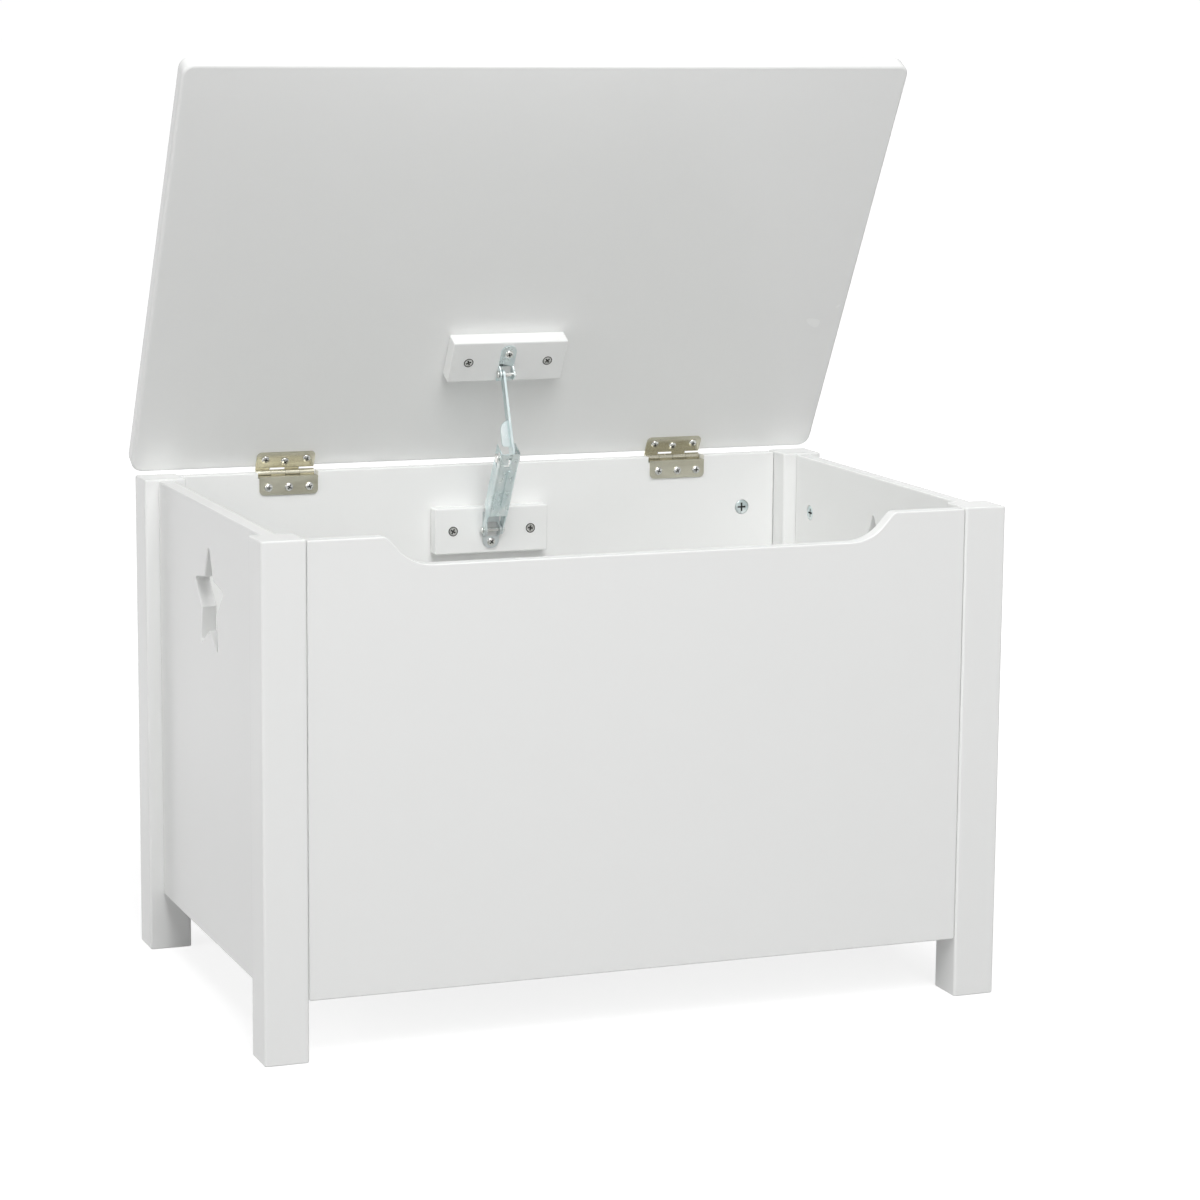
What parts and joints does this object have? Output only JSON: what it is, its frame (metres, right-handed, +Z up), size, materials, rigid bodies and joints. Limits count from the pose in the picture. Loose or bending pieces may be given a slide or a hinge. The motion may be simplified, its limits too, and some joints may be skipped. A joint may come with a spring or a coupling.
{
  "type": "wooden toy box",
  "caption": "White wooden toy chest with corner-post legs, star hand holes and a hinged lid held open by a folding metal stay.",
  "frame": {"origin": "middle of the footprint of the whole box with its lid open, on the floor", "axes": "+Z up, +Y towards the hinged back, +X to the right as seen from the front"},
  "size_m": [0.607, 0.393, 0.7338],
  "materials": {
    "white_lacquer": "white satin lacquer over smooth board",
    "nickel_steel": "satin nickel plate",
    "zinc_steel": "zinc plate with a faint blue cast",
    "bright_steel": "polished plate"
  },
  "bodies": {
    "carcass": {"front_left_post": "white_lacquer", "front_right_post": "white_lacquer", "back_left_post": "white_lacquer", "back_right_post": "white_lacquer", "front_panel": "white_lacquer", "back_panel": "white_lacquer", "left_panel": "white_lacquer", "right_panel": "white_lacquer", "floor_panel": "white_lacquer", "back_stay_block": "white_lacquer", "left_hinge_lower_leaf": "nickel_steel", "right_hinge_lower_leaf": "nickel_steel", "left_hinge_pin": "nickel_steel", "right_hinge_pin": "nickel_steel", "left_hinge_lower_screw_1": "bright_steel", "left_hinge_lower_screw_2": "bright_steel", "left_hinge_lower_screw_3": "bright_steel", "right_hinge_lower_screw_1": "bright_steel", "right_hinge_lower_screw_2": "bright_steel", "right_hinge_lower_screw_3": "bright_steel", "back_block_screw_left": "bright_steel", "back_block_screw_right": "bright_steel", "stay_lower_bracket": "zinc_steel", "stay_lower_bracket_screw": "bright_steel", "stay_lower_pin": "bright_steel", "cam_fitting_front_panel_left_lower": "zinc_steel", "cam_fitting_left_panel_front_lower": "zinc_steel", "cam_fitting_front_panel_right_lower": "zinc_steel", "cam_fitting_right_panel_front_lower": "zinc_steel", "cam_fitting_back_panel_left_lower": "zinc_steel", "cam_fitting_left_panel_back_lower": "zinc_steel", "cam_fitting_back_panel_right_lower": "zinc_steel", "cam_fitting_right_panel_back_lower": "zinc_steel", "cam_fitting_front_panel_left_upper": "zinc_steel", "cam_fitting_left_panel_front_upper": "zinc_steel", "cam_fitting_front_panel_right_upper": "zinc_steel", "cam_fitting_right_panel_front_upper": "zinc_steel", "cam_fitting_back_panel_left_upper": "zinc_steel", "cam_fitting_left_panel_back_upper": "zinc_steel", "cam_fitting_back_panel_right_upper": "zinc_steel", "cam_fitting_right_panel_back_upper": "zinc_steel"},
    "lid": {"lid_panel": "white_lacquer", "lid_stay_block": "white_lacquer", "left_hinge_upper_leaf": "nickel_steel", "right_hinge_upper_leaf": "nickel_steel", "left_hinge_upper_screw_1": "bright_steel", "left_hinge_upper_screw_2": "bright_steel", "left_hinge_upper_screw_3": "bright_steel", "right_hinge_upper_screw_1": "bright_steel", "right_hinge_upper_screw_2": "bright_steel", "right_hinge_upper_screw_3": "bright_steel", "lid_block_screw_left": "bright_steel", "lid_block_screw_right": "bright_steel", "stay_upper_bracket": "zinc_steel", "stay_upper_bracket_screw": "bright_steel"},
    "upper_arm": {"stay_upper_arm": "zinc_steel", "stay_upper_pin": "bright_steel", "stay_elbow_pin": "bright_steel"},
    "channel_arm": {"stay_channel_arm": "zinc_steel"}
  },
  "joints": [
    {"name": "lid_hinge", "type": "hinge", "parent": "carcass", "child": "lid", "pos_m": [0, 0.18307, 0.389], "axis": [1, 0, 0], "range_deg": [0, 60.66]},
    {"name": "stay_arm_pivot", "type": "hinge", "parent": "lid", "child": "upper_arm", "pos_m": [-0.0013, 0.11863, 0.47231], "axis": [1, 0, 0], "range_deg": [-60, 0]},
    {"name": "stay_channel_pivot", "type": "hinge", "parent": "carcass", "child": "channel_arm", "pos_m": [-0.0013, 0.15237, 0.3377], "axis": [1, 0, 0], "range_deg": [0, 90]}
  ],
  "couplings": [
    {"joint": "stay_arm_pivot", "follows": "lid_hinge", "ratio": -0.92},
    {"joint": "stay_channel_pivot", "follows": "lid_hinge", "ratio": 1.416}
  ]
}
